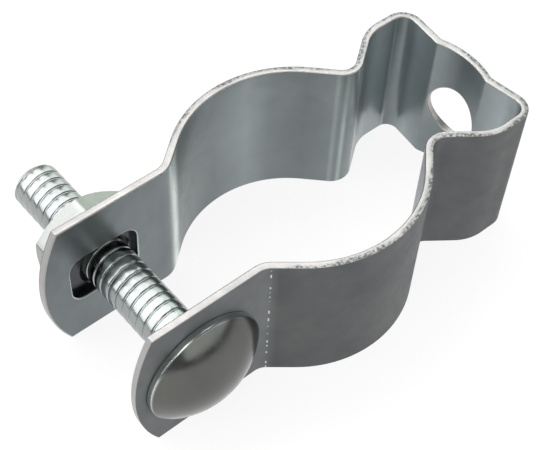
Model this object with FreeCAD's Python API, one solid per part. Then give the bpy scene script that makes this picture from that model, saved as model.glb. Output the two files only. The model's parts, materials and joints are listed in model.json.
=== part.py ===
"""Conduit hanger: one folded steel strap, closed across its ears by a carriage bolt and a hex nut.

The hanger lies on one sheared edge of the strap. The conduit runs along Z through the origin,
the head with the mounting hole is at +X, the ears with the bolt are at -X, and the nut is at +Y.
All sizes are in millimetres.
"""
import FreeCAD, Part
import math
import os
from collections import namedtuple

# Strip that the strap is folded from; shearing has broken the edges of its inner face
strap_width = 15.875
strap_thickness = 0.75
edge_bevel = 0.14

# Bends and straight runs, from the clamp to the head; bend radii are those of the hollow side
clamp_radius = 11.3
neck_run = 3.0
neck_bend = 1.5
neck_gap = 10.4
shoulder_run = 3.05
shoulder_bend = 4.2
head_width = 16.65
side_run = 1.8
head_corner = 1.3

# Channel pressed outward along the middle of the head, between two inward ridges
channel_width = 6.9
channel_depth = 0.68
ridge_bend = 0.35
ridge_dip = 0.42
mounting_hole = 6.1

# Ears; a bolt slot is longer than the bolt's neck by its spare, and lies nearer to the tip than the bolt
ear_run = 2.75
ear_bend = 1.8
ear_gap = 13.0
ear_tip_rise = 2.1
bolt_to_tip = 7.08
slot_spare = 2.4
slot_corner = 1.4
slot_tipward = 0.5

# Carriage bolt
bolt_diameter = 4.8
bolt_length = 26.5
bolt_point = 0.55
head_diameter = 12.0
head_height = 3.2
head_rim = 0.65
head_rim_round = 0.25
neck_proud = 0.15
neck_depth = 2.6
neck_corner = 0.55

# Hex nut
nut_across_flats = 9.525
nut_height = 4.1
nut_clocking = 2.6
nut_chamfer_angle = 30.0
nut_face_inset = 0.15
nut_countersink = 0.4

# Clearances: the bolt lies low in its slots, so its square neck has most of its play above it,
# and the bolt's head and the nut stay this far from where the ears start to bend
neck_play = 0.4
neck_rest_play = 0.1
thread_play = 0.05
seat_play = 0.21

# Room beyond a face so that a cut passes right through it, and the shortest run that is drawn
overcut = 2.0
shortest_run = 0.0001

Bend = namedtuple("Bend", "x y radius turn")
LEFT, RIGHT = 1, -1
NUT_SIDES = 6
ALONG_X = FreeCAD.Vector(1, 0, 0)
ALONG_Y = FreeCAD.Vector(0, 1, 0)

strap_middle = strap_width / 2
ear_inner = ear_gap / 2
ear_outer = ear_inner + strap_thickness
neck_square = bolt_diameter + neck_proud
slot_length = neck_square + slot_spare
nut_corner_radius = nut_across_flats / math.sqrt(3)


def beyond(far, aside):
    """Distance along X between two centres that are `far` apart and differ by `aside` in Y."""
    return math.sqrt(far ** 2 - aside ** 2)


def ridge_and_channel(head_face):
    """Bends of the inward ridge at +Y and of the channel that it borders, tangent to each other."""
    ridge_radius = ridge_bend + strap_thickness
    ridge = Bend(head_face - ridge_dip + ridge_radius, channel_width / 2, ridge_radius, RIGHT)
    inset = ridge_radius - channel_depth
    radius = (inset ** 2 + ridge.y ** 2 - ridge_radius ** 2) / (2 * channel_depth)
    channel_top = head_face - ridge_dip + channel_depth
    return ridge, Bend(channel_top - radius, 0.0, radius, LEFT)


def strap_bends():
    """Bends of the strap's inner face in order, from the ear at -Y round the head to the ear at +Y."""
    clamp = Bend(0.0, 0.0, clamp_radius, LEFT)

    neck_radius = neck_bend + strap_thickness
    neck_y = neck_gap / 2 + neck_radius
    neck_x = beyond(math.hypot(clamp_radius + neck_radius, neck_run), neck_y)
    neck = Bend(neck_x, neck_y, neck_radius, RIGHT)

    shoulder_y = head_width / 2 - shoulder_bend
    reach = math.hypot(shoulder_bend + neck_radius, shoulder_run)
    shoulder = Bend(neck_x + beyond(reach, neck_y - shoulder_y), shoulder_y, shoulder_bend, LEFT)
    corner = Bend(shoulder.x + side_run, head_width / 2 - head_corner, head_corner, LEFT)

    ear_radius = ear_bend + strap_thickness
    ear_y = ear_inner + ear_radius
    ear_x = -beyond(math.hypot(clamp_radius + ear_radius, ear_run), ear_y)
    ear = Bend(ear_x, ear_y, ear_radius, RIGHT)

    ridge, channel = ridge_and_channel(corner.x + head_corner)
    half = [ridge, corner, shoulder, neck, clamp, ear]
    mirrored = [bend._replace(y=-bend.y) for bend in reversed(half)]
    return mirrored + [channel] + half


bends = strap_bends()
bolt_x = bends[-1].x - max(head_diameter / 2, nut_corner_radius) - seat_play
ear_tip_x = bolt_x - bolt_to_tip
ear_corner_x = ear_tip_x + ear_tip_rise
bolt_z = strap_middle - (neck_play - neck_rest_play)
bolt_axis = FreeCAD.Vector(bolt_x, 0, bolt_z)


def tangent_heading(bend, following):
    """Heading of the straight run that leaves one bend and enters the next."""
    dx = following.x - bend.x
    dy = following.y - bend.y
    rise = (bend.turn * bend.radius - following.turn * following.radius) / math.hypot(dx, dy)
    return math.atan2(dy, dx) + math.asin(max(-1.0, min(1.0, rise)))


def point_on(bend, heading, offset):
    """Point where a bend has this heading, moved outward from the inner face by an offset."""
    radius = bend.radius + bend.turn * offset
    x = bend.x + bend.turn * radius * math.sin(heading)
    y = bend.y - bend.turn * radius * math.cos(heading)
    return FreeCAD.Vector(x, y, 0)


def face_edges(headings, offset):
    """Lines and arcs of one face of the strip, from the tip of the ear at -Y to the one at +Y."""
    edges = []
    here = FreeCAD.Vector(ear_tip_x, -ear_inner - offset, 0)
    for bend, entering, leaving in zip(bends, headings, headings[1:]):
        sweep = bend.turn * ((bend.turn * (leaving - entering)) % (2 * math.pi))
        first, middle, last = [
            point_on(bend, entering + share * sweep, offset) for share in (0.0, 0.5, 1.0)
        ]
        if here.distanceToPoint(first) > shortest_run:
            edges.append(Part.LineSegment(here, first).toShape())
            here = first
        edges.append(Part.Arc(here, middle, last).toShape())
        here = last
    tip = FreeCAD.Vector(ear_tip_x, ear_inner + offset, 0)
    edges.append(Part.LineSegment(here, tip).toShape())
    return edges


def folded_strip():
    """Strip of constant thickness along all the bends, with square ends, and its inner outline."""
    headings = [0.0]
    headings += [tangent_heading(a, b) for a, b in zip(bends, bends[1:])]
    headings.append(math.pi)
    inner = face_edges(headings, 0.0)
    outer = face_edges(headings, strap_thickness)
    ends = [
        Part.LineSegment(inner[0].firstVertex().Point, outer[0].firstVertex().Point).toShape(),
        Part.LineSegment(inner[-1].lastVertex().Point, outer[-1].lastVertex().Point).toShape(),
    ]
    outline = Part.Wire(Part.__sortEdges__(inner + outer + ends))
    return Part.Face(outline).extrude(FreeCAD.Vector(0, 0, strap_width)), Part.Wire(inner)


def tip_trimmer(box):
    """Prism along Y with the side outline of the strip in this box, rounded at the ear tips."""
    near_y = box.YMin - overcut
    far_x = box.XMax + overcut
    low = FreeCAD.Vector(ear_corner_x, near_y, 0)
    tip = FreeCAD.Vector(ear_tip_x, near_y, strap_middle)
    high = FreeCAD.Vector(ear_corner_x, near_y, strap_width)
    far_high = FreeCAD.Vector(far_x, near_y, strap_width)
    far_low = FreeCAD.Vector(far_x, near_y, 0)
    sides = [(high, far_high), (far_high, far_low), (far_low, low)]
    edges = [Part.Arc(low, tip, high).toShape()]
    edges += [Part.LineSegment(a, b).toShape() for a, b in sides]
    return Part.Face(Part.Wire(edges)).extrude(ALONG_Y * (box.YLength + 2 * overcut))


def edges_along_y(box):
    """The four edges of an upright box that run along Y."""
    return [edge for edge in box.Edges if edge.BoundBox.YLength > shortest_run]


def slot_cutter():
    """Round-cornered prism along Y through both ears, wide enough for the bolt's square neck."""
    half_height = neck_square / 2 + neck_play
    slot_x = bolt_x - slot_tipward - slot_length / 2
    corner = FreeCAD.Vector(slot_x, -ear_outer - overcut, strap_middle - half_height)
    prism = Part.makeBox(slot_length, 2 * (ear_outer + overcut), 2 * half_height, corner)
    return prism.makeFillet(slot_corner, edges_along_y(prism))


def inner_edges(strip, inner_outline):
    """Edges all round the strip's inner face, without the lines where one bend meets the next."""
    found = []
    for edge in strip.Edges:
        middle = edge.valueAt((edge.FirstParameter + edge.LastParameter) / 2)
        below = Part.Vertex(FreeCAD.Vector(middle.x, middle.y, 0))
        across = edge.Curve.TypeId == "Part::GeomLine" and edge.BoundBox.ZLength > shortest_run
        if not across and below.distToShape(inner_outline)[0] < shortest_run:
            found.append(edge)
    return found


def make_strap():
    """Strap with rounded ear tips, broken inner edges, bolt slots and the mounting hole."""
    strip, inner_outline = folded_strip()
    hole_start = FreeCAD.Vector(strip.BoundBox.XMax - strap_thickness - overcut, 0, strap_middle)
    hole = Part.makeCylinder(mounting_hole / 2, strap_thickness + 2 * overcut, hole_start, ALONG_X)
    blank = strip.common(tip_trimmer(strip.BoundBox))
    blank = blank.makeChamfer(edge_bevel, inner_edges(blank, inner_outline))
    return blank.cut(slot_cutter()).cut(hole)


def turned(outline):
    """Solid turned about the bolt's axis from (radius, y) corners; a triple has a point on its arc."""
    def place(radius, y):
        return FreeCAD.Vector(bolt_x + radius, y, bolt_z)

    edges = []
    here = place(*outline[0])
    for corner in outline[1:] + outline[:1]:
        there = place(*corner[:2])
        if len(corner) == 2:
            edges.append(Part.LineSegment(here, there).toShape())
        else:
            edges.append(Part.Arc(here, place(*corner[2]), there).toShape())
        here = there
    return Part.Face(Part.Wire(edges)).revolve(bolt_axis, ALONG_Y, 360)


def head_outline(seat):
    """Corners of the bolt's head from the ear outward: its rim, the round at its edge and its dome."""
    rim_radius = head_diameter / 2
    dome_height = head_height - head_rim
    dome_radius = (rim_radius ** 2 + dome_height ** 2) / (2 * dome_height)
    dome_y = seat - head_height + dome_radius
    round_x = rim_radius - head_rim_round
    round_y = dome_y - beyond(dome_radius - head_rim_round, round_x)
    dome_edge = math.atan2(round_x, dome_y - round_y)

    def on_dome(angle):
        return dome_radius * math.sin(angle), dome_y - dome_radius * math.cos(angle)

    round_middle = (dome_edge + math.pi / 2) / 2
    on_round = (
        round_x + head_rim_round * math.sin(round_middle),
        round_y - head_rim_round * math.cos(round_middle),
    )
    return [
        (rim_radius, seat),
        (rim_radius, round_y),
        (*on_dome(dome_edge), on_round),
        (0, seat - head_height, on_dome(dome_edge / 2)),
    ]


def make_bolt():
    """Carriage bolt: domed head on the ear at -Y, square neck in its slot, plain thread cylinder."""
    seat = -ear_outer
    tip = seat + bolt_length
    radius = bolt_diameter / 2
    shank = [(0, tip), (radius - bolt_point, tip), (radius, tip - bolt_point), (radius, seat)]
    bolt = turned(shank + head_outline(seat))
    half_square = neck_square / 2
    taper_end = seat + neck_depth + radius
    corner = FreeCAD.Vector(bolt_x - half_square, seat, bolt_z - half_square)
    neck = Part.makeBox(neck_square, taper_end - seat, neck_square, corner)
    neck = neck.makeFillet(neck_corner, edges_along_y(neck))
    tapered = turned([
        (0, taper_end),
        (neck_square, taper_end - neck_square),
        (neck_square, seat),
        (0, seat),
    ])
    return bolt.fuse(neck.common(tapered))


def make_nut():
    """Hex nut seated on the ear at +Y, with a corner about upward and both ends chamfered."""
    face_radius = nut_across_flats / 2 - nut_face_inset
    chamfer = (nut_corner_radius - face_radius) * math.tan(math.radians(nut_chamfer_angle))
    bore_radius = bolt_diameter / 2 + thread_play
    seat = ear_outer
    top = seat + nut_height
    centre = bolt_axis + ALONG_Y * seat
    angles = [math.radians(360 / NUT_SIDES * side - nut_clocking) for side in range(NUT_SIDES)]
    corners = [
        centre + FreeCAD.Vector(math.sin(angle), 0, math.cos(angle)) * nut_corner_radius
        for angle in angles
    ]
    prism = Part.Face(Part.makePolygon(corners + corners[:1])).extrude(ALONG_Y * nut_height)
    blank = turned([
        (bore_radius + nut_countersink, seat),
        (face_radius, seat),
        (nut_corner_radius, seat + chamfer),
        (nut_corner_radius, top - chamfer),
        (face_radius, top),
        (bore_radius + nut_countersink, top),
        (bore_radius, top - nut_countersink),
        (bore_radius, seat + nut_countersink),
    ])
    return prism.common(blank)


nodes = {
    "strap": make_strap(),
    "carriage_bolt": make_bolt(),
    "hex_nut": make_nut(),
}

os.makedirs("parts", exist_ok=True)
for name, shape in nodes.items():
    solid = shape.Solids[0] if len(shape.Solids) == 1 else shape
    solid.exportStep("parts/" + name + ".step")
    box = solid.BoundBox
    print(name, "solids", len(shape.Solids), "valid", solid.isValid(), "volume", round(solid.Volume, 2))
    print("  x", round(box.XMin, 3), round(box.XMax, 3), "y", round(box.YMin, 3), round(box.YMax, 3),
          "z", round(box.ZMin, 3), round(box.ZMax, 3))
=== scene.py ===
"""Looks of the conduit hanger: a folded zinc-plated strap with its carriage bolt and hex nut.

The strap is made as it is in a press: a flat strip is pierced and trimmed, and then folded along its
bends. The bolt and the nut are grids of rows about their axis, with one helix for both threads.
Sizes are in millimetres unless a name ends in _m; meshes are scaled to metres when they are made.
"""
import json
import math
from collections import namedtuple

import bmesh
import bpy
from mathutils import Matrix, Vector


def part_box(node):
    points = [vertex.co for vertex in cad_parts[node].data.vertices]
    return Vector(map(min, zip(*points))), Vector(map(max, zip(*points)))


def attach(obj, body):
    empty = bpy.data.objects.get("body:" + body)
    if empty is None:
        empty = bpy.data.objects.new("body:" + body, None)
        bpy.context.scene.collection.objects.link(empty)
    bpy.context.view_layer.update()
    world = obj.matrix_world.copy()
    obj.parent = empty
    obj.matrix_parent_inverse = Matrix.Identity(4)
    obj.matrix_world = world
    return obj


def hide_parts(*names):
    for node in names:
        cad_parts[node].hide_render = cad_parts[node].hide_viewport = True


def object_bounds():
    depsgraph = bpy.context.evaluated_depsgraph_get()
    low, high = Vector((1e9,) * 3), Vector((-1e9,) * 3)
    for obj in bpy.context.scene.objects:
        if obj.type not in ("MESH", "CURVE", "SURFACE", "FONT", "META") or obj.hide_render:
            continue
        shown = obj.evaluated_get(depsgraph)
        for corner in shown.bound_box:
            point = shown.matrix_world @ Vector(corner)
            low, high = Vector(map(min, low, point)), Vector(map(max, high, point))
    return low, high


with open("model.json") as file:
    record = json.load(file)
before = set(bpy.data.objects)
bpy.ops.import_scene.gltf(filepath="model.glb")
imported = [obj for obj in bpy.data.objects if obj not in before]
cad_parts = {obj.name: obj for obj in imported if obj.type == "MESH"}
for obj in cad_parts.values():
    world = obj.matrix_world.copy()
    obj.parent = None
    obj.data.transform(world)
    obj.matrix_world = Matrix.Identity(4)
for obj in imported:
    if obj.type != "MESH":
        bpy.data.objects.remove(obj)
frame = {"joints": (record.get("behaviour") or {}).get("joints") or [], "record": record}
cad_low_m, cad_high_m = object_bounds()

MM = 0.001
FULL_TURN = 2 * math.pi
LEFT, RIGHT = 1, -1
INNER, OUTER, RIM, PIERCED = 0, 1, 2, 3
NECK_SIDES, NUT_SIDES = 4, 6
BLACK, WHITE = (0.0, 0.0, 0.0), (1.0, 1.0, 1.0)

Bend = namedtuple("Bend", "x y radius turn")
Piece = namedtuple("Piece", "start length x y heading curve")
Plate = namedtuple("Plate", "dark light metallic rough_low rough_high streak bump")
Lamp = namedtuple("Lamp", "name direction width_m height_m radiance colour")

# Sizes that the frame gives
mounts = {mount["name"]: mount for mount in frame["record"]["mounts"]}
joints = {joint["name"]: joint for joint in frame["joints"]}
strap_low, strap_high = [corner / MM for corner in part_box("strap")]
bolt_low, bolt_high = [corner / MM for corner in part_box("carriage_bolt")]
nut_low, nut_high = [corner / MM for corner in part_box("hex_nut")]
bolt_x, ear_outer, bolt_z = [value / MM for value in joints["nut_turn"]["pos_m"]]
clamp_radius = mounts["conduit_clamp"]["dims"]["r_mm"]
hole_radius = mounts["mounting_hole"]["dims"]["r_mm"]
strap_width = strap_high.z - strap_low.z
strap_middle = strap_width / 2
ear_tip_x = strap_low.x

# Strip, and its bends and straight runs; bend radii are those of the hollow side
strap_thickness = 0.75
edge_roll = 0.14
fracture_share = 0.5
fracture_slant = 0.03
neck_run = 3.0
neck_bend = 1.5
neck_gap = 10.4
shoulder_run = 3.05
shoulder_bend = 4.2
head_width = 16.65
side_run = 1.8
head_corner = 1.3
channel_width = 6.9
channel_depth = 0.68
ridge_bend = 0.35
ridge_dip = 0.42
ear_run = 2.75
ear_bend = 1.8
ear_tip_rise = 2.1
slot_length = 7.35
slot_height = 5.75
slot_corner = 1.4
slot_tipward = 0.5
ear_inner = ear_outer - strap_thickness

# Carriage bolt and nut
bolt_radius = 2.4
bolt_point = 0.55
bolt_seat = -ear_outer
head_rim = 0.65
head_rim_round = 0.3
neck_square = 4.95
neck_depth = 2.6
neck_taper = neck_square / 4
neck_corner = 0.55
thread_pitch = 1.0583
thread_crown = 0.03
thread_groove = 0.19
thread_fullness = 13
thread_start_y = 0.117
thread_runout = 1.2
nut_across_flats = 9.525
nut_clocking = math.radians(2.6)
nut_face_inset = 0.15
nut_chamfer_slope = math.tan(math.radians(30))
nut_countersink = 0.4
nut_corner_round = 0.22
nut_thread_play = 0.05
nut_bore_radius = 2.45
nut_minor_radius = 2.05

# Fineness of the meshes; edges that turn by more than the sharp angle stay sharp
degrees_per_station = 3.0
shortest_step = 0.0015
overcut = 1.5
points_per_quarter = 6
hole_points = 96
tip_points = 24
dome_rows = 24
taper_rows = 8
turn_points = 56
rows_per_pitch = 56
nut_flat_points = 14
nut_corner_points = 4
strap_sharp_degrees = 35
bolt_sharp_degrees = 50
nut_sharp_degrees = 24
bolt_angles = [FULL_TURN * step / turn_points for step in range(turn_points)]

# Zinc plate on each surface: its two colours, its gloss, its brushed streak and the depth of its grain
inner_plate = Plate(
    dark=(0.50, 0.565, 0.59), light=(0.60, 0.67, 0.68), metallic=0.8,
    rough_low=0.3, rough_high=0.38, streak=0.3, bump=0.05,
)
# The outer face is the same plate as the inner face, but coloured far darker: painted shade, for the dark
# that it mirrors
outer_plate = Plate(
    dark=(0.115, 0.12, 0.127), light=(0.155, 0.162, 0.163), metallic=0.8,
    rough_low=0.46, rough_high=0.54, streak=0.7, bump=0.1,
)
rim_plate = Plate(
    dark=(0.375, 0.37, 0.365), light=(0.44, 0.43, 0.425), metallic=0.95,
    rough_low=0.3, rough_high=0.42, streak=0.0, bump=0.15,
)
# The slot walls are the same plate as the rims, but coloured far darker: painted shade, as in the slots'
# shadow
slot_plate = Plate(
    dark=(0.09, 0.09, 0.1), light=(0.15, 0.155, 0.165), metallic=1.0,
    rough_low=0.22, rough_high=0.32, streak=0.0, bump=0.1,
)
bolt_plate = Plate(
    dark=(0.31, 0.33, 0.335), light=(0.37, 0.39, 0.38), metallic=1.0,
    rough_low=0.16, rough_high=0.26, streak=0.0, bump=0.04,
)
nut_plate = Plate(
    dark=(0.225, 0.235, 0.225), light=(0.265, 0.275, 0.265), metallic=1.0,
    rough_low=0.2, rough_high=0.28, streak=0.0, bump=0.04,
)

# Noise in the plate: how far across its patches are, and how softly they go over into each other
cloud_m = 0.005
cloud_detail = 3.0
smear_m = 0.0012
grain_m = 0.0001
patch_detail = 2.0
patch_softness = 0.2

# Inner face: (distance from the strip's middle, level) of painted light and shade, (distance, half width,
# strength) of painted highlight lines
inner_levels = [
    (0.0, 0.33), (4.0, 0.5), (6.0, 0.7), (7.6, 0.5), (8.5, 0.36), (9.5, 0.64), (12.0, 0.74), (16.5, 0.57),
    (19.0, 0.45), (23.0, 0.37), (26.5, 0.42), (29.0, 0.57), (33.0, 0.4), (40.0, 0.37), (45.0, 0.42),
    (57.2, 0.34),
]
painted_highlight_lines = [
    (41.6, 1.7, 1.0), (19.95, 0.4, 0.16), (19.0, 0.4, 0.4), (16.75, 0.4, 0.9), (8.9, 0.25, 0.25),
]
# Colour of the painted highlight lines and of the slot edges' painted highlight, which the real nicks
# share; the gloss of the lines and the nicks; the patches of the lines
highlight_and_nick_colour = (0.84, 0.97, 0.92)
highlight_and_nick_rough = 0.22
highlight_patch_m = 0.004
highlight_least = 0.65

# Outer face: (distance from the strip's middle, level) of its tone, and a row of nicks at a distance from
# the strip's start
outer_levels = [(0.0, 1.0), (30.0, 1.05), (41.6, 0.92), (42.6, 1.45), (57.2, 1.22)]
nick_along = 14.9
nick_half_width = 0.16
nick_spacing = 0.6
nick_noise_from, nick_noise_full = 0.56, 0.64
nick_strength = 0.8

# Sheared rims: torn specks past a share of the thickness, fewer at ears and hole, and a dark burr
tear_colour = (0.10, 0.11, 0.11)
tear_from, tear_full = 0.4, 0.7
tear_patch_m = 0.004
tear_patch_softness = 0.15
tear_patch_least, tear_patch_most = -0.35, 0.2
speck_m = 0.00025
speck_detail = 4.0
speck_softness = 0.1
speck_least = 0.15
burr_from, burr_full = 0.86, 0.97
burr_strength = 0.8
ear_clean_from, ear_clean_full = 40.1, 42.4
ear_clean = 0.6
hole_clean_full, hole_clean_end = 4.0, 4.2
hole_clean = 0.8

# Walls of the bolt slots: painted highlight, a bright edge within a share of the thickness
slot_highlight_full, slot_highlight_end = 0.04, 0.18
slot_highlight_strength = 0.5

# Bolt and nut: tints of the dome (painted shade), the head's side (painted highlight) and the nut's seat
# (painted shade), the colour of painted light in the thread roots, and fades at edges
dome_painted_shade = (0.36, 0.345, 0.33)
side_painted_highlight = (2.0, 2.0, 1.95)
seat_painted_shade = (0.25, 0.25, 0.27)
root_painted_light = (0.8, 0.84, 0.84)
edge_lead = 0.12
edge_fade = 0.1
seat_fade_from, seat_fade_end = 0.02, 0.06

# Floor that is lifted to white where it is seen or mirrored, room that is brighter overhead, and lamps
floor_half_m = 3.0
floor_gap_m = 0.00005
floor_colour = (0.15, 0.15, 0.15)
floor_lift = 0.87
room_low, room_high = 0.26, 0.32
room_full_height = 0.75
room_low_colour = (0.96, 1.0, 1.0)
room_high_colour = (1.0, 1.0, 0.98)
lamp_distance_m = 0.6
lamps = [
    Lamp("left", (-0.756, 0.454, 0.472), 0.42, 0.42, 2.55, (1.0, 0.99, 0.99)),
    Lamp("back", (-0.305, 0.454, 0.837), 0.42, 0.42, 2.55, (1.0, 0.99, 0.99)),
    Lamp("ceiling", (0.33, 0.454, 0.83), 0.42, 0.42, 2.4, (1.0, 0.99, 0.98)),
    Lamp("right", (0.86, 0.44, 0.30), 0.3, 0.42, 1.75, (0.9, 1.0, 0.9)),
    Lamp("front", (0.28, -0.86, 0.42), 0.8, 0.3, 1.4, (0.98, 1.0, 0.96)),
    Lamp("top", (-0.46, -0.28, 0.84), 0.3, 0.3, 2.8, WHITE),
]

# Camera that sees the hanger as the photograph does, for an image of 538 by 450
camera_azimuth = math.radians(-42.618)
camera_elevation = math.radians(51.868)
camera_roll = math.radians(3.294)
camera_target = Vector((-3.209, 0.187, 8.801))
camera_distance = 115.87
camera_focal_px = 1233.9
camera_clip_m = 0.001
image_width_px = 538
sensor_width = 36.0


# Path of the strap's inner face

def beyond(far, aside):
    """Distance along X between two centres that are `far` apart and differ by `aside` in Y."""
    return math.sqrt(far ** 2 - aside ** 2)


def strap_bends():
    """Bends of the strap's inner face in order, from the ear at -Y round the head to the ear at +Y."""
    clamp = Bend(0.0, 0.0, clamp_radius, LEFT)

    neck_radius = neck_bend + strap_thickness
    neck_y = neck_gap / 2 + neck_radius
    neck_x = beyond(math.hypot(clamp_radius + neck_radius, neck_run), neck_y)
    neck = Bend(neck_x, neck_y, neck_radius, RIGHT)

    shoulder_y = head_width / 2 - shoulder_bend
    reach = math.hypot(shoulder_bend + neck_radius, shoulder_run)
    shoulder = Bend(neck_x + beyond(reach, neck_y - shoulder_y), shoulder_y, shoulder_bend, LEFT)
    corner = Bend(shoulder.x + side_run, head_width / 2 - head_corner, head_corner, LEFT)

    ear_radius = ear_bend + strap_thickness
    ear_y = ear_inner + ear_radius
    ear_x = -beyond(math.hypot(clamp_radius + ear_radius, ear_run), ear_y)
    ear = Bend(ear_x, ear_y, ear_radius, RIGHT)

    ridge_radius = ridge_bend + strap_thickness
    ridge_top = corner.x + head_corner - ridge_dip
    ridge = Bend(ridge_top + ridge_radius, channel_width / 2, ridge_radius, RIGHT)
    inset = ridge_radius - channel_depth
    channel_radius = (inset ** 2 + ridge.y ** 2 - ridge_radius ** 2) / (2 * channel_depth)
    channel = Bend(ridge_top + channel_depth - channel_radius, 0.0, channel_radius, LEFT)

    half = [ridge, corner, shoulder, neck, clamp, ear]
    mirrored = [bend._replace(y=-bend.y) for bend in reversed(half)]
    return mirrored + [channel] + half


def tangent_heading(bend, following):
    """Heading of the straight run that leaves one bend and enters the next."""
    dx = following.x - bend.x
    dy = following.y - bend.y
    rise = (bend.turn * bend.radius - following.turn * following.radius) / math.hypot(dx, dy)
    return math.atan2(dy, dx) + math.asin(max(-1.0, min(1.0, rise)))


def strap_path():
    """Straight and round pieces of the inner face, each with its start along the flat strip."""
    bends = strap_bends()
    headings = [0.0]
    headings += [tangent_heading(a, b) for a, b in zip(bends, bends[1:])]
    headings.append(math.pi)
    pieces = []
    here = Vector((ear_tip_x, -ear_inner))
    along = 0.0
    for bend, entering, leaving in zip(bends, headings, headings[1:]):
        aside = bend.turn * bend.radius
        first = Vector((bend.x + aside * math.sin(entering), bend.y - aside * math.cos(entering)))
        run = (first - here).length
        pieces.append(Piece(along, run, here.x, here.y, entering, 0.0))
        along += run
        sweep = (bend.turn * (leaving - entering)) % FULL_TURN
        pieces.append(Piece(along, sweep * bend.radius, first.x, first.y, entering, 1 / aside))
        along += sweep * bend.radius
        here = Vector((bend.x + aside * math.sin(leaving), bend.y - aside * math.cos(leaving)))
    pieces.append(Piece(along, here.x - ear_tip_x, here.x, here.y, math.pi, 0.0))
    return pieces


path = strap_path()
strip_length = path[-1].start + path[-1].length
channel_piece = path[len(path) // 2]


def folded(along, depth):
    """Place in X and Y of a point of the strip, and the direction there out of the strap."""
    piece = path[0]
    for following in path[1:]:
        if following.start > along:
            break
        piece = following
    step = along - piece.start
    heading = piece.heading + piece.curve * step
    if piece.curve:
        x = piece.x + (math.sin(heading) - math.sin(piece.heading)) / piece.curve
        y = piece.y - (math.cos(heading) - math.cos(piece.heading)) / piece.curve
    else:
        x = piece.x + step * math.cos(heading)
        y = piece.y + step * math.sin(heading)
    outward = Vector((math.sin(heading), -math.cos(heading)))
    return Vector((x, y)) + outward * depth, outward


# Flat strip, what is cut out of it, and its folding

def stations():
    """Lines across the flat strip where it is divided, from just before one tip to past the other."""
    found = [-overcut]
    for piece in path:
        if piece.curve:
            sweep = math.degrees(piece.length * abs(piece.curve))
            count = max(2, math.ceil(sweep / degrees_per_station))
            found += [piece.start + piece.length * step / count for step in range(count + 1)]
    found.append(strip_length + overcut)
    return [a for a, b in zip(found, found[1:] + [math.inf]) if b - a > shortest_step]


def roll_profile():
    """(depth, setback) points of an edge that shearing has rolled over on the inner face."""
    angles = [math.pi / 2 * step / points_per_quarter for step in range(points_per_quarter + 1)]
    return [(edge_roll * (1 - math.cos(a)), edge_roll * (1 - math.sin(a))) for a in angles]


def strip_section():
    """(across, depth) corners of the strip's section, and the material of the side after each of them."""
    lower = [(setback, depth) for depth, setback in roll_profile()]
    lower += [(0.0, strap_thickness * fracture_share), (fracture_slant, strap_thickness)]
    upper = [(strap_width - across, depth) for across, depth in lower]
    rim = [RIM] * (len(lower) - 1)
    return upper + lower[::-1], rim + [OUTER] + rim + [INNER]


def loft(mesh, loops, materials, closed=False):
    """Faces between loops of points, with one material for each side of a loop.

    The last loop is joined to the first one, or both of them are filled.
    """
    rows = [[mesh.verts.new(point) for point in loop] for loop in loops]
    count = len(rows[0])
    for row, following in zip(rows, rows[1:] + rows[:1] if closed else rows[1:]):
        for i in range(count):
            j = (i + 1) % count
            face = mesh.faces.new((row[i], row[j], following[j], following[i]))
            face.material_index = materials[i % len(materials)]
    if not closed:
        for row in (rows[0], rows[-1]):
            mesh.faces.new(row).material_index = materials[0]


def cutter_levels():
    """(depth, setback) levels of a cut that rolls the edge of the inner face over."""
    return [(-overcut, edge_roll)] + roll_profile() + [(strap_thickness + overcut, 0.0)]


def slot_outline(centre, grown):
    """Corners of a bolt slot in the flat strip, grown by a little."""
    corner = slot_corner + grown
    points = []
    for quarter, (sign_x, sign_y) in enumerate([(1, 1), (-1, 1), (-1, -1), (1, -1)]):
        mid_x = centre + sign_x * (slot_length / 2 - slot_corner)
        mid_y = strap_middle + sign_y * (slot_height / 2 - slot_corner)
        for step in range(points_per_quarter + 1):
            angle = math.pi / 2 * (quarter + step / points_per_quarter)
            points.append((mid_x + corner * math.cos(angle), mid_y + corner * math.sin(angle)))
    return points


def hole_outline(grown):
    """Points of the mounting hole in the flat strip; it is round when seen along X."""
    channel_radius = 1 / channel_piece.curve
    centre = channel_piece.start + channel_piece.length / 2
    radius = hole_radius + grown
    points = []
    for step in range(hole_points):
        angle = FULL_TURN * step / hole_points
        aside = radius * math.cos(angle)
        along = centre + channel_radius * math.asin(aside / channel_radius)
        points.append((along, strap_middle + radius * math.sin(angle)))
    return points


def tip_outline(setback, mirrored):
    """Outline of what is trimmed off one end of the flat strip, outside its round tip."""
    tip_radius = (ear_tip_rise ** 2 + strap_middle ** 2) / (2 * ear_tip_rise)
    reach = strap_middle + overcut
    points = [(-2 * overcut, strap_middle + reach), (-2 * overcut, strap_middle - reach)]
    for step in range(tip_points + 1):
        aside = reach * (2 * step / tip_points - 1)
        points.append((tip_radius - beyond(tip_radius - setback, aside), strap_middle + aside))
    return [(strip_length - along, across) for along, across in points] if mirrored else points


def placed(name, data):
    """Object in the scene with this mesh, lamp or camera."""
    made = bpy.data.objects.new(name, data)
    bpy.context.scene.collection.objects.link(made)
    return made


def new_mesh_object(name, fill):
    """Object whose mesh a function fills, with outward faces."""
    mesh = bmesh.new()
    fill(mesh)
    bmesh.ops.recalc_face_normals(mesh, faces=mesh.faces[:])
    data = bpy.data.meshes.new(name)
    mesh.to_mesh(data)
    mesh.free()
    return placed(name, data)


def smooth(data, sharp_degrees):
    """Makes a mesh smooth but for its sharp edges."""
    data.shade_smooth()
    data.set_sharp_from_angle(angle=math.radians(sharp_degrees))


def fill_strip(mesh):
    """Flat strip: X along it, Y across it and Z down from its inner face."""
    corners, materials = strip_section()
    loops = [[(along, across, depth) for across, depth in corners] for along in stations()]
    loft(mesh, loops, materials)


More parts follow.
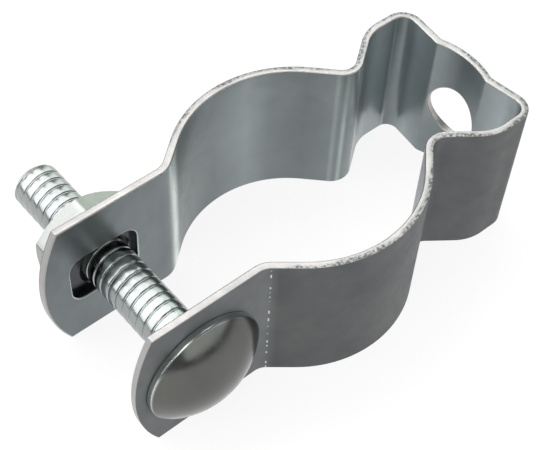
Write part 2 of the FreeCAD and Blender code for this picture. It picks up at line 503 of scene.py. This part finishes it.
def fill_cutters(mesh):
    """Everything that is cut out of the flat strip: two slots, the hole and what is beyond the tips."""
    tip_to_slot = bolt_x - slot_tipward - ear_tip_x
    cuts = [
        (PIERCED, lambda setback: slot_outline(tip_to_slot, setback)),
        (PIERCED, lambda setback: slot_outline(strip_length - tip_to_slot, setback)),
        (RIM, hole_outline),
        (RIM, lambda setback: tip_outline(setback, False)),
        (RIM, lambda setback: tip_outline(setback, True)),
    ]
    for material, outline in cuts:
        levels = [[(a, b, depth) for a, b in outline(setback)] for depth, setback in cutter_levels()]
        loft(mesh, levels, [material])


def pierced_strip():
    """Mesh of the flat strip with its slots, hole and round tips."""
    strip = new_mesh_object("flat_strip", fill_strip)
    cutters = new_mesh_object("cutters", fill_cutters)
    for _ in (INNER, OUTER, RIM, PIERCED):
        strip.data.materials.append(None)
        cutters.data.materials.append(None)
    cut = strip.modifiers.new("pierce", "BOOLEAN")
    cut.operation = "DIFFERENCE"
    cut.solver = "EXACT"
    cut.object = cutters
    evaluated = strip.evaluated_get(bpy.context.evaluated_depsgraph_get())
    data = bpy.data.meshes.new_from_object(evaluated)
    for used in (strip, cutters):
        bpy.data.meshes.remove(used.data)
    return data


def map_strip(mesh):
    """Map of the flat strip, across and along it; rims are opened out beside the faces."""
    strip_map = mesh.loops.layers.uv.new("strip")
    for face in mesh.faces:
        for corner in face.loops:
            along, across, depth = corner.vert.co
            if face.material_index in (RIM, PIERCED):
                across += depth if across > strap_middle else -depth
            corner[strip_map].uv = (across / strip_length, along / strip_length)


def fold(mesh):
    """Folds the flat strip, and gives each point's share of the thickness and its direction outward."""
    depths = []
    outward = []
    for vert in mesh.verts:
        along, across, depth = vert.co
        place, direction = folded(along, depth)
        vert.co = (place.x, place.y, across)
        depths.append(depth / strap_thickness)
        outward.append(direction)
    return depths, outward


def make_strap(materials):
    """Strap: the pierced strip folded along its bends, with the exact normals of its two faces."""
    mesh = bmesh.new()
    mesh.from_mesh(pierced_strip())
    bmesh.ops.triangulate(mesh, faces=[face for face in mesh.faces if len(face.verts) > 4])
    map_strip(mesh)
    depths, outward = fold(mesh)
    data = bpy.data.meshes.new("strap_skin")
    mesh.to_mesh(data)
    mesh.free()
    data.attributes.new("depth", "FLOAT", "POINT").data.foreach_set("value", depths)
    smooth(data, strap_sharp_degrees)
    sign = {INNER: -1.0, OUTER: 1.0, RIM: 0.0, PIERCED: 0.0}
    normals = []
    for face in data.polygons:
        normals += [(outward[i] * sign[face.material_index]).to_3d() for i in face.vertices]
    data.normals_split_custom_set(normals)
    data.transform(Matrix.Scale(MM, 4))
    for material in materials:
        data.materials.append(material)
    return placed("strap_skin", data)


# Bolt and nut

def polygon_radius(angle, sides, apothem, corner):
    """Distance from the centre to a round-cornered polygon; one of its flats faces angle 0."""
    sector = FULL_TURN / sides
    turn = abs((angle + sector / 2) % sector - sector / 2)
    if apothem * math.tan(turn) <= (apothem - corner) * math.tan(sector / 2):
        return apothem / math.cos(turn)
    far = (apothem - corner) / math.cos(sector / 2)
    off = sector / 2 - turn
    return far * math.cos(off) + math.sqrt(corner ** 2 - (far * math.sin(off)) ** 2)


def thread_radius(angle, y):
    """Radius of the bolt's right-hand thread, which has full, crowned crests and narrow roots."""
    turn = ((y - thread_start_y) / thread_pitch - angle / FULL_TURN + 0.5) % 1.0
    from_crest = abs(2 * turn - 1)
    return bolt_radius - thread_crown * from_crest ** 2 - thread_groove * from_crest ** thread_fullness


def ring(radius_at, y_at, angles=bolt_angles):
    """Points of one row about the bolt's axis; angle 0 is up and a quarter turn is towards +X."""
    points = []
    for angle in angles:
        radius = radius_at(angle)
        x = bolt_x + radius * math.sin(angle)
        points.append((x, y_at(angle), bolt_z + radius * math.cos(angle)))
    return points


def level_ring(radius_at, y, angles=bolt_angles):
    """Row at one height along the axis."""
    return ring(radius_at, lambda angle: y, angles)


def round_ring(radius, y, angles=bolt_angles):
    """Row of one radius at one height along the axis."""
    return level_ring(lambda angle: radius, y, angles)


def head_rows():
    """Rows of the bolt's head, from near the middle of its dome to its seat on the ear."""
    rim_radius = (bolt_high.x - bolt_low.x) / 2
    top = bolt_low.y
    dome_height = bolt_seat - top - head_rim
    dome_radius = (rim_radius ** 2 + dome_height ** 2) / (2 * dome_height)
    dome_y = top + dome_radius
    round_x = rim_radius - head_rim_round
    round_y = dome_y - beyond(dome_radius - head_rim_round, round_x)
    dome_edge = math.atan2(round_x, dome_y - round_y)
    rows = []
    for step in range(1, dome_rows):
        angle = dome_edge * step / dome_rows
        rows.append(round_ring(dome_radius * math.sin(angle), dome_y - dome_radius * math.cos(angle)))
    for step in range(points_per_quarter + 1):
        angle = dome_edge + (math.pi / 2 - dome_edge) * step / points_per_quarter
        y = round_y - head_rim_round * math.cos(angle)
        rows.append(round_ring(round_x + head_rim_round * math.sin(angle), y))
    for depth, setback in reversed(roll_profile()):
        rows.append(round_ring(rim_radius - setback, bolt_seat - depth))
    return rows


def neck_rows():
    """Rows of the square neck and of its tapered end."""
    end = bolt_seat + neck_depth

    def radius_at(y):
        cone = bolt_radius + end - y
        return lambda angle: min(cone, polygon_radius(angle, NECK_SIDES, neck_square / 2, neck_corner))

    heights = [bolt_seat]
    heights += [end - neck_taper * (1 - step / taper_rows) for step in range(taper_rows + 1)]
    return [level_ring(radius_at(y), y) for y in heights]


def thread_rows():
    """Rows of the threaded shank, from its run-out at the neck to its bevelled end."""
    start, tip = bolt_seat + neck_depth, bolt_high.y
    count = math.ceil((tip - start) / thread_pitch * rows_per_pitch)

    def radius_at(y):
        depth_share = min(1.0, (y - start) / thread_runout)
        bevel = bolt_radius - bolt_point + tip - y
        return lambda angle: min(bevel, bolt_radius + (thread_radius(angle, y) - bolt_radius) * depth_share)

    heights = [start + (tip - start) * step / count for step in range(1, count + 1)]
    return [level_ring(radius_at(y), y) for y in heights]


def fill_bolt(mesh):
    """Carriage bolt from the middle of its head to the middle of its end."""
    loft(mesh, head_rows() + neck_rows() + thread_rows(), [0])


def nut_angles():
    """Angles of the nut's rows, close together at its six corners."""
    sector = FULL_TURN / NUT_SIDES
    flat = math.atan((1 - nut_corner_round / (nut_across_flats / 2)) * math.tan(sector / 2))
    turns = [flat * (2 * step / nut_flat_points - 1) for step in range(nut_flat_points + 1)]
    turns += [flat + (sector - 2 * flat) * step / nut_corner_points for step in range(1, nut_corner_points)]
    first = -nut_clocking + sector / 2
    return [first + sector * side + turn for side in range(NUT_SIDES) for turn in turns]


def fill_nut(mesh):
    """Hex nut with both ends bevelled, countersunk and threaded to fit the bolt."""
    seat, top = nut_low.y, nut_high.y
    apothem = nut_across_flats / 2
    face_radius = apothem - nut_face_inset
    angles = nut_angles()
    half_sector = FULL_TURN / NUT_SIDES / 2

    def hex_radius(angle):
        return polygon_radius(angle + nut_clocking + half_sector, NUT_SIDES, apothem, nut_corner_round)

    def bevel(angle):
        return (hex_radius(angle) - face_radius) * nut_chamfer_slope

    def bore(y):
        cone = nut_bore_radius + nut_countersink - min(y - seat, top - y)
        least = max(nut_minor_radius, cone)
        return lambda angle: max(least, thread_radius(angle, y) + nut_thread_play)

    rows = [round_ring(face_radius, seat, angles)]
    rows.append(ring(hex_radius, lambda angle: seat + bevel(angle), angles))
    rows.append(ring(hex_radius, lambda angle: top - bevel(angle), angles))
    rows.append(round_ring(face_radius, top, angles))
    count = math.ceil((top - seat) / thread_pitch * rows_per_pitch)
    heights = [top + (seat - top) * step / count for step in range(count + 1)]
    rows += [level_ring(bore(y), y, angles) for y in heights]
    loft(mesh, rows, [0], closed=True)


def make_turned(name, fill, sharp_degrees, material):
    """Bolt or nut: a mesh of rows about the axis, with its material."""
    made = new_mesh_object(name, fill)
    smooth(made.data, sharp_degrees)
    made.data.transform(Matrix.Scale(MM, 4))
    made.data.materials.append(material)
    return made


# Shader nodes

def empty_tree(made):
    """Node tree of a material or a world, with no nodes yet."""
    made.use_nodes = True
    made.node_tree.nodes.clear()
    return made.node_tree


def add(tree, kind, inputs=None, **settings):
    """Shader node with its settings, and inputs that are values or the outputs of other nodes."""
    made = tree.nodes.new("ShaderNode" + kind)
    for name, value in settings.items():
        setattr(made, name, value)
    for name, value in (inputs or {}).items():
        socket = made.inputs[name]
        if isinstance(value, bpy.types.NodeSocket):
            tree.links.new(value, socket)
        else:
            socket.default_value = (*value, 1.0) if socket.type == "RGBA" else value
    return made


def computed(tree, operation, value, *others):
    """Value after a Math operation, which takes in the others one by one."""
    if not others:
        return add(tree, "Math", {0: value}, operation=operation).outputs["Value"]
    for other in others:
        value = add(tree, "Math", {0: value, 1: other}, operation=operation).outputs["Value"]
    return value


def apart(tree, value, other):
    """Distance between two values."""
    return computed(tree, "ABSOLUTE", computed(tree, "SUBTRACT", value, other))


def spread(tree, value, low, high, to_low, to_high, way="LINEAR"):
    """Value stretched from one range to another and held inside it."""
    inputs = {"Value": value, "From Min": low, "From Max": high, "To Min": to_low, "To Max": to_high}
    return add(tree, "MapRange", inputs, interpolation_type=way).outputs["Result"]


def noise(tree, place, feature_m, detail=patch_detail):
    """Noise whose patches are about so many metres across; its values lie about 0.5."""
    inputs = {"Vector": place, "Scale": 1 / feature_m, "Detail": detail}
    return add(tree, "TexNoise", inputs).outputs["Fac"]


def patchy(tree, place, feature_m, least, most, softness=patch_softness, detail=patch_detail):
    """Value that differs in patches between a least and a most one."""
    values = noise(tree, place, feature_m, detail)
    return spread(tree, values, 0.5 - softness, 0.5 + softness, least, most)


def blended(tree, share, first, second, way="MIX"):
    """Colour between two colours, or another blend of them."""
    inputs = {"Factor": share, "A": first, "B": second}
    return add(tree, "Mix", inputs, data_type="RGBA", blend_type=way).outputs["Result"]


def multiplied(tree, colour, factor):
    """Product of two colours."""
    return blended(tree, 1.0, colour, factor, "MULTIPLY")


def ramp(tree, value, stops):
    """Colour that follows a value through (value, colour) stops."""
    low, high = stops[0][0], stops[-1][0]
    made = add(tree, "ValToRGB", {"Fac": spread(tree, value, low, high, 0.0, 1.0)})
    elements = made.color_ramp.elements
    while len(elements) < len(stops):
        elements.new(0.5)
    for element, (place, colour) in zip(elements, stops):
        element.position = (place - low) / (high - low)
        element.color = (*colour, 1.0)
    return made.outputs["Color"]


# Zinc plate, and the tone of each surface

def strip_place(tree):
    """Places across and along the flat strip, in millimetres."""
    strip_map = add(tree, "UVMap", uv_map="strip").outputs["UV"]
    place = add(tree, "VectorMath", {0: strip_map, "Scale": strip_length}, operation="SCALE")
    parts = add(tree, "SeparateXYZ", {"Vector": place.outputs["Vector"]}).outputs
    return parts["X"], parts["Y"]


def strip_depth(tree):
    """Depth under the strip's inner face, as a share of its thickness."""
    return add(tree, "Attribute", attribute_name="depth").outputs["Fac"]


def band(tree, here, distance, half_width, strength):
    """Soft line across the strip at a distance."""
    return spread(tree, apart(tree, here, distance), 0.0, half_width, strength, 0.0, "SMOOTHSTEP")


def levelled(tree, here, colour, levels):
    """Colour that is lighter or darker at distances from the strip's middle."""
    stops = [(distance, (level, level, level)) for distance, level in levels]
    return multiplied(tree, colour, ramp(tree, here, stops))


def painted_light_and_highlights(tree, place, colour):
    """Inner face with painted light and shade that makes it lighter or darker along the strip, and painted
    highlights: bright lines on the tight bends, where the plate is also glossier.
    """
    _, along = strip_place(tree)
    here = apart(tree, along, strip_length / 2)
    # Painted light and shade along the strip, then painted highlights as bright lines on the tight bends,
    # broken up in patches
    colour = levelled(tree, here, colour, inner_levels)
    lines = computed(tree, "MAXIMUM", *[band(tree, here, *line) for line in painted_highlight_lines])
    highlight_patches = patchy(tree, place, highlight_patch_m, highlight_least, 1.0)
    share = computed(tree, "MULTIPLY", lines, highlight_patches)
    return blended(tree, share, colour, highlight_and_nick_colour), share


def nicked(tree, place, colour):
    """Plate with a row of small bright nicks that the bending tool has left on one ear's bend."""
    across, along = strip_place(tree)
    colour = levelled(tree, apart(tree, along, strip_length / 2), colour, outer_levels)
    line = band(tree, along, nick_along, nick_half_width, 1.0)
    inputs = {"W": computed(tree, "DIVIDE", across, nick_spacing), "Scale": 1.0, "Detail": 0.0}
    dots = add(tree, "TexNoise", inputs, noise_dimensions="1D").outputs["Fac"]
    dots = spread(tree, dots, nick_noise_from, nick_noise_full, 0.0, nick_strength)
    share = computed(tree, "MULTIPLY", line, dots)
    return blended(tree, share, colour, highlight_and_nick_colour), share


def torn(tree, place, colour):
    """Plate with grey specks where the strip broke away under the shear, towards its outer face."""
    depth = strip_depth(tree)
    across, along = strip_place(tree)
    from_middle = apart(tree, along, strip_length / 2)
    on_ear = spread(tree, from_middle, ear_clean_from, ear_clean_full, 0.0, -ear_clean)
    aside = apart(tree, across, strap_middle)
    in_hole = spread(tree, aside, hole_clean_full, hole_clean_end, -hole_clean, 0.0)
    patches = patchy(tree, place, tear_patch_m, tear_patch_least, tear_patch_most, tear_patch_softness)
    reach = computed(tree, "ADD", depth, patches, on_ear, in_hole)
    zone = spread(tree, reach, tear_from, tear_full, 0.0, 1.0)
    specks = patchy(tree, place, speck_m, speck_least, 1.0, speck_softness, speck_detail)
    burr = spread(tree, depth, burr_from, burr_full, 0.0, burr_strength)
    share = computed(tree, "MAXIMUM", computed(tree, "MULTIPLY", zone, specks), burr)
    return blended(tree, share, colour, tear_colour), None


def edge_highlighted(tree, place, colour):
    """Plate with a painted highlight: a bright line where a pierced edge is rolled over."""
    share = spread(tree, strip_depth(tree), slot_highlight_full, slot_highlight_end, slot_highlight_strength, 0.0)
    return blended(tree, share, colour, highlight_and_nick_colour), None


def along_bolt(tree, place, stops):
    """Colour that changes at heights along the bolt's axis."""
    height_m = add(tree, "SeparateXYZ", {"Vector": place}).outputs["Y"]
    return ramp(tree, computed(tree, "DIVIDE", height_m, MM), stops)


def from_axis(tree, place):
    """Distance from the bolt's axis, in millimetres."""
    flat = add(tree, "VectorMath", {0: place, 1: (1 / MM, 0.0, 1 / MM)}, operation="MULTIPLY")
    inputs = {0: flat.outputs["Vector"], 1: (bolt_x, 0.0, bolt_z)}
    return add(tree, "VectorMath", inputs, operation="DISTANCE").outputs["Value"]


def headed(tree, place, colour):
    """Bolt with painted shade on its dome, a painted highlight on the side of its head and painted light in
    the roots of its thread.
    """
    dome_edge = bolt_seat - head_rim
    thread_end = bolt_high.y - bolt_point
    crest = bolt_radius - thread_crown
    # Painted light in the thread roots, where shade falls between the crests
    root = spread(tree, from_axis(tree, place), crest - thread_groove, crest, 1.0, 0.0)
    threaded = along_bolt(tree, place, [
        (bolt_seat, BLACK),
        (bolt_seat + neck_depth, WHITE),
        (thread_end - edge_fade / 2, WHITE),
        (thread_end, BLACK),
    ])
    colour = blended(tree, computed(tree, "MULTIPLY", root, threaded), colour, root_painted_light)
    # Painted shade on the dome, and a painted highlight on the side of the head
    tints = along_bolt(tree, place, [
        (dome_edge - edge_lead, dome_painted_shade),
        (dome_edge - edge_lead + edge_fade, WHITE),
        (dome_edge + edge_fade, side_painted_highlight),
        (bolt_seat, side_painted_highlight),
        (bolt_seat + edge_fade / 2, WHITE),
    ])
    return multiplied(tree, colour, tints), None


def seated(tree, place, colour):
    """Nut with painted shade on the face of its seat."""
    # Painted shade on the face of the seat
    stops = [(nut_low.y + seat_fade_from, seat_painted_shade), (nut_low.y + seat_fade_end, WHITE)]
    return multiplied(tree, colour, along_bolt(tree, place, stops)), None


def plate_material(name, plate, tone):
    """Zinc plate: cloudy colour, uneven gloss and a slight grain.

    `tone` changes the colour further, and may give a share by which the plate is made glossier: that of the
    painted highlight lines and of the nicks.
    """
    material = bpy.data.materials.new(name)
    tree = empty_tree(material)
    place = add(tree, "TexCoord").outputs["Object"]
    cloud = patchy(tree, place, cloud_m, 0.0, 1.0, detail=cloud_detail)
    colour, highlight_and_nick_share = tone(tree, place, blended(tree, cloud, plate.dark, plate.light))
    rough = patchy(tree, place, smear_m, plate.rough_low, plate.rough_high)
    # The painted highlight lines and the nicks are glossier
    if highlight_and_nick_share:
        rough = spread(tree, highlight_and_nick_share, 0.0, 1.0, rough, highlight_and_nick_rough)
    grain = {"Height": noise(tree, place, grain_m), "Strength": plate.bump, "Distance": grain_m}
    surface = {
        "Base Color": colour,
        "Metallic": plate.metallic,
        "Roughness": rough,
        "Normal": add(tree, "Bump", grain).outputs["Normal"],
    }
    if plate.streak:
        across_strip = add(tree, "Tangent", direction_type="UV_MAP", uv_map="strip")
        surface["Anisotropic"] = plate.streak
        surface["Tangent"] = across_strip.outputs["Tangent"]
    shader = add(tree, "BsdfPrincipled", surface)
    add(tree, "OutputMaterial", {"Surface": shader.outputs["BSDF"]})
    return material


# Floor, room, lamps and camera

def floor():
    """White floor just under the strap's lower rim; it shows the soft shadow of the hanger."""
    def fill(mesh):
        bmesh.ops.create_grid(mesh, x_segments=1, y_segments=1, size=floor_half_m)
        bmesh.ops.translate(mesh, verts=mesh.verts[:], vec=(0, 0, cad_low_m.z - floor_gap_m))

    made = new_mesh_object("floor", fill)
    material = bpy.data.materials.new("white_floor")
    tree = empty_tree(material)
    rays = add(tree, "LightPath").outputs
    kinds = [rays[kind] for kind in ("Is Camera Ray", "Is Glossy Ray", "Is Transmission Ray")]
    seen = computed(tree, "MINIMUM", computed(tree, "ADD", *kinds), 1.0)
    lift = computed(tree, "MULTIPLY", seen, floor_lift)
    glow = add(tree, "Emission", {"Color": WHITE, "Strength": lift}).outputs["Emission"]
    matt = add(tree, "BsdfDiffuse", {"Color": floor_colour}).outputs["BSDF"]
    both = add(tree, "AddShader", {0: matt, 1: glow}).outputs["Shader"]
    add(tree, "OutputMaterial", {"Surface": both})
    made.data.materials.append(material)


def room():
    """Pale room: dim at the level of the floor and bright overhead."""
    made = bpy.data.worlds.new("room")
    tree = empty_tree(made)
    direction = add(tree, "TexCoord").outputs["Generated"]
    height = add(tree, "SeparateXYZ", {"Vector": direction}).outputs["Z"]
    level = spread(tree, height, 0.0, room_full_height, room_low, room_high)
    overhead = spread(tree, height, 0.0, 1.0, 0.0, 1.0)
    colour = blended(tree, overhead, room_low_colour, room_high_colour)
    back = add(tree, "Background", {"Color": colour, "Strength": level}).outputs["Background"]
    add(tree, "OutputWorld", {"Surface": back})
    bpy.context.scene.world = made


def softbox(lamp):
    """Rectangular lamp that shines on the hanger from a direction."""
    light = bpy.data.lights.new(lamp.name, "AREA")
    light.shape = "RECTANGLE"
    light.size = lamp.width_m
    light.size_y = lamp.height_m
    light.energy = lamp.radiance * math.pi * lamp.width_m * lamp.height_m
    light.color = lamp.colour
    away = Vector(lamp.direction).normalized()
    turn = away.to_track_quat("Z", "Y").to_matrix().to_4x4()
    placed(lamp.name, light).matrix_world = Matrix.Translation(away * lamp_distance_m) @ turn


def camera():
    """Camera above the ears, looking down into the clamp."""
    level = Vector((math.cos(camera_azimuth), math.sin(camera_azimuth), 0.0))
    ahead = Vector((-math.sin(camera_azimuth), math.cos(camera_azimuth), 0.0))
    back = Vector((0.0, 0.0, math.sin(camera_elevation))) - ahead * math.cos(camera_elevation)
    upright = back.cross(level)
    right = level * math.cos(camera_roll) + upright * math.sin(camera_roll)
    up = upright * math.cos(camera_roll) - level * math.sin(camera_roll)
    turn = Matrix((right, up, back)).transposed().to_4x4()
    made = placed("camera", bpy.data.cameras.new("camera"))
    made.matrix_world = Matrix.Translation((camera_target + back * camera_distance) * MM) @ turn
    made.data.sensor_width = sensor_width
    made.data.sensor_fit = "HORIZONTAL"
    made.data.lens = camera_focal_px / image_width_px * sensor_width
    made.data.clip_start = camera_clip_m
    bpy.context.scene.camera = made


# The hanger, and the floor that it lies on

def dress(made, body, node):
    """Ties a piece to its body, and hides the node that it stands for."""
    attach(made, body)
    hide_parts(node)


strap = make_strap([
    plate_material("zinc_inner_face", inner_plate, painted_light_and_highlights),
    plate_material("zinc_outer_face", outer_plate, nicked),
    plate_material("zinc_sheared_rim", rim_plate, torn),
    plate_material("zinc_slot_wall", slot_plate, edge_highlighted),
])
dress(strap, "strap", "strap")

bolt_zinc = plate_material("zinc_bolt", bolt_plate, headed)
bolt = make_turned("bolt_skin", fill_bolt, bolt_sharp_degrees, bolt_zinc)
dress(bolt, "bolt", "carriage_bolt")

nut_zinc = plate_material("zinc_nut", nut_plate, seated)
nut = make_turned("nut_skin", fill_nut, nut_sharp_degrees, nut_zinc)
dress(nut, "nut", "hex_nut")

floor()
room()
for lamp in lamps:
    softbox(lamp)
camera()
bpy.context.scene.view_settings.view_transform = "Standard"
